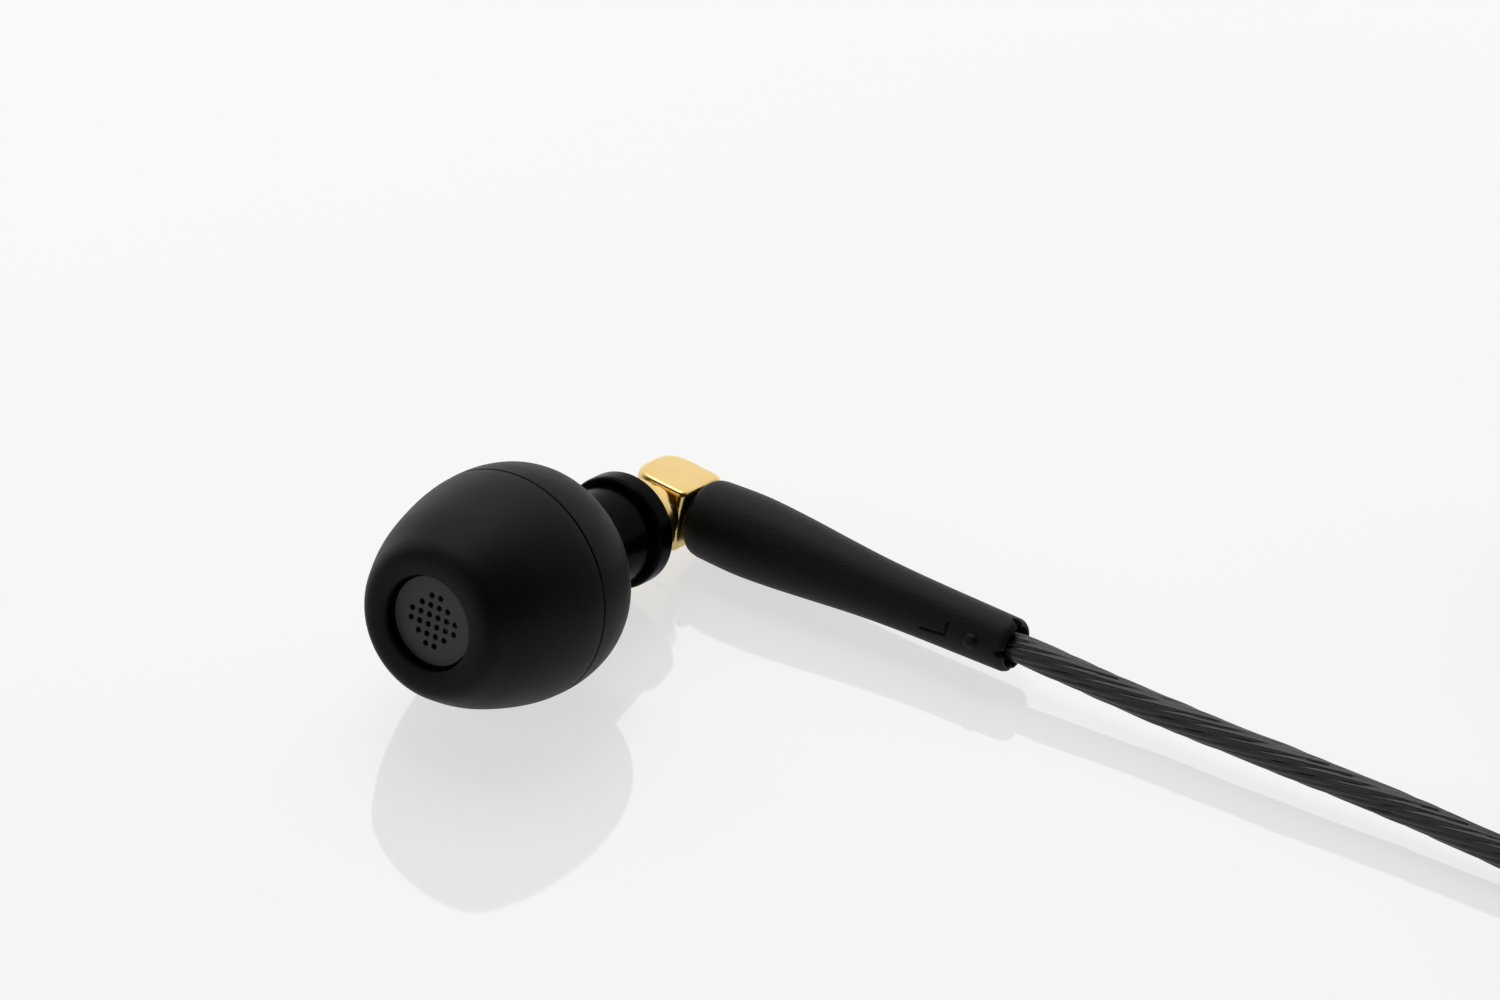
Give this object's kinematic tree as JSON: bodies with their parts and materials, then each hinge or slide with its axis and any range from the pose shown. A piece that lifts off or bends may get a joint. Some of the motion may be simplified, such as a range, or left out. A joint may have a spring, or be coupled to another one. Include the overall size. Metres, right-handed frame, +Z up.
{
  "type": "in ear monitors",
  "caption": "Pair of in-ear monitors: cylindrical barrels with silicone tips, gold coaxial elbow connectors, strain reliefs, twisted cable with splitter, and a 3.5 mm plug.",
  "frame": {"origin": "on the surface it rests on, under the middle of the box around the two earpieces with their connectors and strain reliefs", "axes": "+X from the left earpiece to the right one, +Y away from a viewer of the left ear tip, +Z up"},
  "size_m": [0.1274, 0.0455, 0.0126],
  "materials": {
    "ear_tip_silicone": "matte black silicone with a fine sheen",
    "grille_metal": "flat dark grey, satin",
    "barrel_black": "glossy black",
    "moulded_black": "satin black moulding",
    "relief_rubber": "finely textured matte black rubber",
    "cord_jacket": "black twisted cable jacket, satin",
    "polished_gold": "polished gold plating",
    "driver_steel": "plain metal can",
    "snap_ring_bronze": "spring bronze",
    "insulator_white": "white insulating resin",
    "damper_mesh": "fine woven screen",
    "strap_fabric": "black hook-and-loop strap"
  },
  "bodies": {
    "cable_side": {"left_connector_body": "polished_gold", "left_connector_insulator": "insulator_white", "left_connector_pin": "polished_gold", "left_elbow_block": "polished_gold", "left_crimp_ferrule": "driver_steel", "left_strain_relief": "relief_rubber", "left_branch_lead": "cord_jacket", "left_splitter_lead": "cord_jacket", "left_coil": "cord_jacket", "left_coil_strap": "strap_fabric", "right_connector_body": "polished_gold", "right_connector_insulator": "insulator_white", "right_connector_pin": "polished_gold", "right_elbow_block": "polished_gold", "right_crimp_ferrule": "driver_steel", "right_strain_relief": "relief_rubber", "right_branch_lead": "cord_jacket", "right_splitter_lead": "cord_jacket", "right_coil": "cord_jacket", "right_coil_strap": "strap_fabric", "main_coil": "cord_jacket", "main_coil_strap": "strap_fabric", "main_plug_lead": "cord_jacket", "main_splitter_lead": "cord_jacket", "splitter": "moulded_black", "plug_grip": "moulded_black", "plug_tail": "relief_rubber", "plug_sleeve": "polished_gold", "plug_ring_contact": "polished_gold", "plug_tip_contact": "polished_gold", "plug_front_insulator": "moulded_black", "plug_rear_insulator": "moulded_black"},
    "left_snap": {"left_connector_snap_ring": "snap_ring_bronze"},
    "left_housing": {"left_barrel": "barrel_black", "left_nozzle_grille": "grille_metal", "left_damper_screen": "damper_mesh", "left_screen_spacer": "moulded_black", "left_driver_gasket": "relief_rubber", "left_driver": "driver_steel", "left_rear_ring": "barrel_black", "left_socket_shell": "polished_gold", "left_socket_insulator": "insulator_white", "left_socket_contact": "polished_gold"},
    "left_tip": {"left_ear_tip": "ear_tip_silicone"},
    "right_snap": {"right_connector_snap_ring": "snap_ring_bronze"},
    "right_housing": {"right_barrel": "barrel_black", "right_nozzle_grille": "grille_metal", "right_damper_screen": "damper_mesh", "right_screen_spacer": "moulded_black", "right_driver_gasket": "relief_rubber", "right_driver": "driver_steel", "right_rear_ring": "barrel_black", "right_socket_shell": "polished_gold", "right_socket_insulator": "insulator_white", "right_socket_contact": "polished_gold"},
    "right_tip": {"right_ear_tip": "ear_tip_silicone"}
  },
  "joints": [
    {"name": "left_swivel", "type": "hinge", "parent": "cable_side", "child": "left_snap", "pos_m": [-0.04759, 0.00598, 0.0025], "axis": [-0.5595, -0.7966, 0.2291], "continuous": true},
    {"name": "left_connector_pull", "type": "slide", "parent": "left_snap", "child": "left_housing", "axis": [-0.5595, -0.7966, 0.2291], "range_m": [0, 0.005]},
    {"name": "left_tip_pull", "type": "slide", "parent": "left_housing", "child": "left_tip", "axis": [-0.5595, -0.7966, 0.2291], "range_m": [0, 0.01]},
    {"name": "right_swivel", "type": "hinge", "parent": "cable_side", "child": "right_snap", "pos_m": [0.06145, 0.00827, 0.0025], "axis": [-0.9734, -0.002, 0.2291], "continuous": true},
    {"name": "right_connector_pull", "type": "slide", "parent": "right_snap", "child": "right_housing", "axis": [-0.9734, -0.002, 0.2291], "range_m": [0, 0.005]},
    {"name": "right_tip_pull", "type": "slide", "parent": "right_housing", "child": "right_tip", "axis": [-0.9734, -0.002, 0.2291], "range_m": [0, 0.01]}
  ]
}
